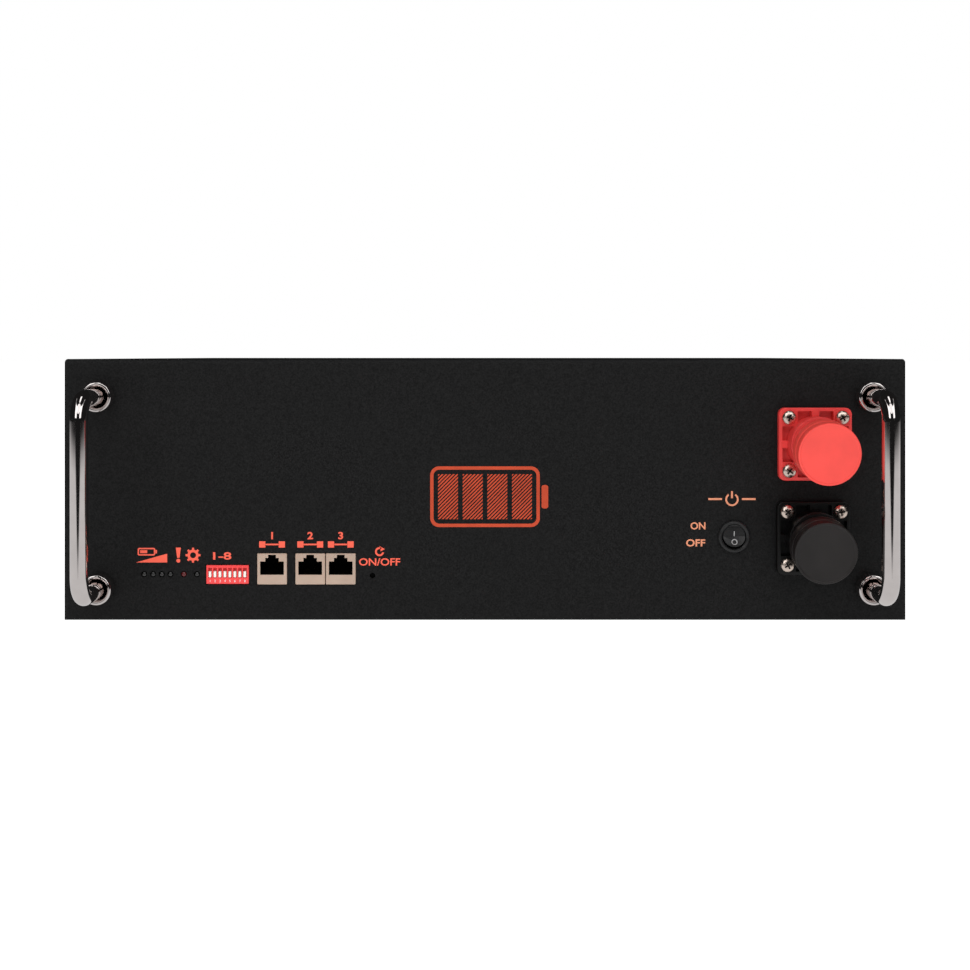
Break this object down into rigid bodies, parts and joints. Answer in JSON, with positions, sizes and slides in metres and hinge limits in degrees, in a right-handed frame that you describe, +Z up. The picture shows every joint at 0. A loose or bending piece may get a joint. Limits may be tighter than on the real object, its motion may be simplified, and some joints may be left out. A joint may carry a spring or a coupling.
{
  "type": "server rack battery",
  "caption": "Rack-height battery in a black steel case with chrome handles, red and black power sockets under dust caps, a rocker switch and data sockets.",
  "frame": {"origin": "centre of the case's footprint, on its bottom face", "axes": "+Z up, front panel faces -Y, +X to the right of a person facing the panel"},
  "size_m": [0.43, 0.4563, 0.1333],
  "materials": {
    "case_paint": "fine-textured black powder coat",
    "black_steel": "black oxide",
    "chrome": "polished",
    "steel": "bright nickel plate",
    "red_plastic": "moulded, satin",
    "black_plastic": "moulded, satin",
    "brass": "plated contact",
    "switch_plastic": "semi-gloss",
    "white_plastic": "moulded",
    "cream_plastic": "moulded, satin",
    "clear_lens": "clear resin",
    "cell_wrap": "blue film over aluminium cans",
    "circuit_board": "solder mask",
    "red_rubber": "cable jacket",
    "black_rubber": "cable jacket"
  },
  "bodies": {
    "case": {"chassis_tray": "case_paint", "front_panel": "case_paint", "top_cover": "case_paint", "cover_screw_left_front": "black_steel", "cover_screw_left_rear": "black_steel", "cover_screw_right_front": "black_steel", "cover_screw_right_rear": "black_steel", "panel_screw_left": "black_steel", "panel_screw_right": "black_steel", "handle_left": "chrome", "handle_right": "chrome", "handle_collar_left_bottom": "chrome", "handle_collar_left_top": "chrome", "handle_collar_right_bottom": "chrome", "handle_collar_right_top": "chrome", "handle_screw_left_bottom": "steel", "handle_screw_left_top": "steel", "handle_screw_right_bottom": "steel", "handle_screw_right_top": "steel", "socket_screw_positive_1": "steel", "socket_screw_positive_2": "steel", "socket_screw_positive_3": "steel", "socket_screw_positive_4": "steel", "socket_screw_negative_1": "steel", "socket_screw_negative_2": "steel", "socket_screw_negative_3": "steel", "socket_screw_negative_4": "steel", "cell_hold_down": "steel", "socket_positive": "red_plastic", "address_switch_housing": "red_plastic", "socket_negative": "black_plastic", "contact_pin_positive": "brass", "contact_pin_negative": "brass", "switch_housing": "switch_plastic", "data_port_1": "cream_plastic", "data_port_2": "cream_plastic", "data_port_3": "cream_plastic", "charge_led_1": "clear_lens", "charge_led_2": "clear_lens", "charge_led_3": "clear_lens", "charge_led_4": "clear_lens", "alarm_led": "clear_lens", "run_led": "clear_lens", "cell_row_front": "cell_wrap", "cell_row_rear": "cell_wrap", "bms_board": "circuit_board", "cable_positive": "red_rubber", "cable_negative": "black_rubber"},
    "rocker": {"switch_rocker": "switch_plastic"},
    "lever_1": {"address_lever_1": "white_plastic"},
    "lever_2": {"address_lever_2": "white_plastic"},
    "lever_3": {"address_lever_3": "white_plastic"},
    "lever_4": {"address_lever_4": "white_plastic"},
    "lever_5": {"address_lever_5": "white_plastic"},
    "lever_6": {"address_lever_6": "white_plastic"},
    "lever_7": {"address_lever_7": "white_plastic"},
    "lever_8": {"address_lever_8": "white_plastic"},
    "reset": {"reset_button": "black_plastic"},
    "cap_positive": {"dust_cap_positive": "red_plastic"},
    "cap_negative": {"dust_cap_negative": "black_plastic"}
  },
  "joints": [
    {"name": "switch_rock", "type": "hinge", "parent": "case", "child": "rocker", "pos_m": [0.1272, -0.2038, 0.0426], "axis": [1, 0, 0], "range_deg": [0, 20]},
    {"name": "address_slide_1", "type": "slide", "parent": "case", "child": "lever_1", "axis": [0, 0, 1], "range_m": [0, 0.0015]},
    {"name": "address_slide_2", "type": "slide", "parent": "case", "child": "lever_2", "axis": [0, 0, 1], "range_m": [0, 0.0015]},
    {"name": "address_slide_3", "type": "slide", "parent": "case", "child": "lever_3", "axis": [0, 0, 1], "range_m": [0, 0.0015]},
    {"name": "address_slide_4", "type": "slide", "parent": "case", "child": "lever_4", "axis": [0, 0, 1], "range_m": [0, 0.0015]},
    {"name": "address_slide_5", "type": "slide", "parent": "case", "child": "lever_5", "axis": [0, 0, 1], "range_m": [0, 0.0015]},
    {"name": "address_slide_6", "type": "slide", "parent": "case", "child": "lever_6", "axis": [0, 0, 1], "range_m": [0, 0.0015]},
    {"name": "address_slide_7", "type": "slide", "parent": "case", "child": "lever_7", "axis": [0, 0, 1], "range_m": [0, 0.0015]},
    {"name": "address_slide_8", "type": "slide", "parent": "case", "child": "lever_8", "axis": [0, 0, 1], "range_m": [0, 0.0015]},
    {"name": "reset_press", "type": "slide", "parent": "case", "child": "reset", "axis": [0, 1, 0], "range_m": [0, 0.0005], "stiffness_N_per_m": 200},
    {"name": "cap_pull_positive", "type": "slide", "parent": "case", "child": "cap_positive", "axis": [0, -1, 0], "range_m": [0, 0.05]},
    {"name": "cap_pull_negative", "type": "slide", "parent": "case", "child": "cap_negative", "axis": [0, -1, 0], "range_m": [0, 0.05]}
  ]
}
